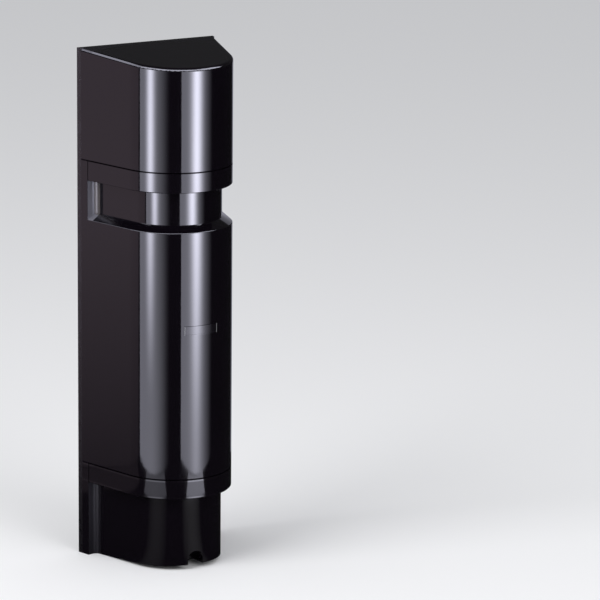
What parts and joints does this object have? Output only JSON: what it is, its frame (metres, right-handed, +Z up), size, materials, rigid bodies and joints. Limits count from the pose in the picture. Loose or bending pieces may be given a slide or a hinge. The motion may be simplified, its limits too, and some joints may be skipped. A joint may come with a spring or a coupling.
{
  "type": "infrared beam detector",
  "caption": "Tall wall-mounted infrared beam detector with a smoked round-nosed cover, and lens units inside that pan and tilt above and below a wiring board.",
  "frame": {"origin": "middle of the four wall fixings, on the wall plane", "axes": "+Z up, -Y out of the front, +Y into the wall, X across; X = 0 is the plane of symmetry"},
  "size_m": [0.1374, 0.107, 0.4654],
  "materials": {
    "smoked_plastic": "gloss black smoked polycarbonate",
    "plate_film": "blank dark plate with a bright rim",
    "chassis_plastic": "matte moulded",
    "rubber": "soft matte",
    "steel": "zinc plated",
    "bracket_steel": "pressed sheet",
    "frame_plastic": "fine moulded grain",
    "housing_plastic": "matte black",
    "lens": "clear moulded",
    "circuit_board": "green solder mask",
    "terminal_plastic": "black moulded",
    "shield_metal": "tin plate",
    "relay_plastic": "black moulded",
    "dial_plastic": "white moulded nylon",
    "nut_plastic": "white moulded nylon",
    "lamp_plastic": "tinted clear",
    "diode_plastic": "dark tinted clear"
  },
  "bodies": {
    "root": {"rear_chassis": "chassis_plastic", "cover_gasket": "rubber", "wiring_grommet": "rubber", "bracket_screws": "steel", "control_board": "circuit_board", "board_screws": "steel", "terminal_block": "terminal_plastic", "terminal_screws": "steel", "board_shield": "shield_metal", "alarm_relay": "relay_plastic", "dial_socket": "relay_plastic", "indicator_lamps": "lamp_plastic", "tamper_switch": "relay_plastic", "upper_bracket": "bracket_steel", "upper_pan_pins": "steel", "upper_pan_washers": "dial_plastic", "lower_bracket": "bracket_steel", "lower_pan_pins": "steel", "lower_pan_washers": "dial_plastic"},
    "cover": {"front_cover": "smoked_plastic", "nameplate": "plate_film", "cover_lock_screw": "steel"},
    "dial": {"response_dial": "dial_plastic"},
    "plunger": {"tamper_plunger": "dial_plastic"},
    "upper_pan_unit": {"upper_pan_frame": "frame_plastic", "upper_tilt_pins": "steel"},
    "upper_tilt_unit": {"upper_lens_housing": "housing_plastic", "upper_low_lens": "lens", "upper_high_lens": "lens", "upper_viewfinder": "frame_plastic", "upper_optics_board": "circuit_board", "upper_emitters": "diode_plastic"},
    "upper_screw": {"upper_tilt_screw": "dial_plastic"},
    "upper_nut": {"upper_tilt_nut": "nut_plastic"},
    "lower_pan_unit": {"lower_pan_frame": "frame_plastic", "lower_tilt_pins": "steel"},
    "lower_tilt_unit": {"lower_lens_housing": "housing_plastic", "lower_low_lens": "lens", "lower_high_lens": "lens", "lower_viewfinder": "frame_plastic", "lower_optics_board": "circuit_board", "lower_emitters": "diode_plastic"},
    "lower_screw": {"lower_tilt_screw": "dial_plastic"},
    "lower_nut": {"lower_tilt_nut": "nut_plastic"}
  },
  "joints": [
    {"name": "cover_slide", "type": "slide", "parent": "root", "child": "cover", "axis": [0, -1, 0], "range_m": [0, 0.12]},
    {"name": "response_dial_turn", "type": "hinge", "parent": "root", "child": "dial", "pos_m": [0.022, -0.0186, 0.077], "axis": [0, -1, 0], "range_deg": [-135, 135]},
    {"name": "tamper_press", "type": "slide", "parent": "root", "child": "plunger", "axis": [0, 1, 0], "range_m": [0, 0.001], "stiffness_N_per_m": 200},
    {"name": "upper_pan", "type": "hinge", "parent": "root", "child": "upper_pan_unit", "pos_m": [0, -0.0535, 0.217], "axis": [0, 0, 1], "range_deg": [-90, 90]},
    {"name": "upper_tilt", "type": "hinge", "parent": "upper_pan_unit", "child": "upper_tilt_unit", "pos_m": [0, -0.0535, 0.217], "axis": [1, 0, 0], "range_deg": [-10, 10]},
    {"name": "upper_nut_climb", "type": "slide", "parent": "upper_pan_unit", "child": "upper_nut", "axis": [0, 0, 1], "range_m": [-0.005, 0.005]},
    {"name": "upper_screw_turn", "type": "hinge", "parent": "upper_pan_unit", "child": "upper_screw", "pos_m": [0, -0.0255, 0.217], "axis": [0, 0, 1], "range_deg": [-1800, 1800]},
    {"name": "lower_pan", "type": "hinge", "parent": "root", "child": "lower_pan_unit", "pos_m": [0, -0.0535, -0.057], "axis": [0, 0, 1], "range_deg": [-90, 90]},
    {"name": "lower_tilt", "type": "hinge", "parent": "lower_pan_unit", "child": "lower_tilt_unit", "pos_m": [0, -0.0535, -0.057], "axis": [1, 0, 0], "range_deg": [-10, 10]},
    {"name": "lower_nut_climb", "type": "slide", "parent": "lower_pan_unit", "child": "lower_nut", "axis": [0, 0, 1], "range_m": [-0.005, 0.005]},
    {"name": "lower_screw_turn", "type": "hinge", "parent": "lower_pan_unit", "child": "lower_screw", "pos_m": [0, -0.0255, -0.057], "axis": [0, 0, 1], "range_deg": [-1800, 1800]}
  ],
  "couplings": [
    {"joint": "upper_nut_climb", "follows": "upper_tilt", "m_per_rad": 0.0283},
    {"joint": "upper_screw_turn", "follows": "upper_tilt", "ratio": -177.81},
    {"joint": "lower_nut_climb", "follows": "lower_tilt", "m_per_rad": 0.0283},
    {"joint": "lower_screw_turn", "follows": "lower_tilt", "ratio": -177.81}
  ]
}
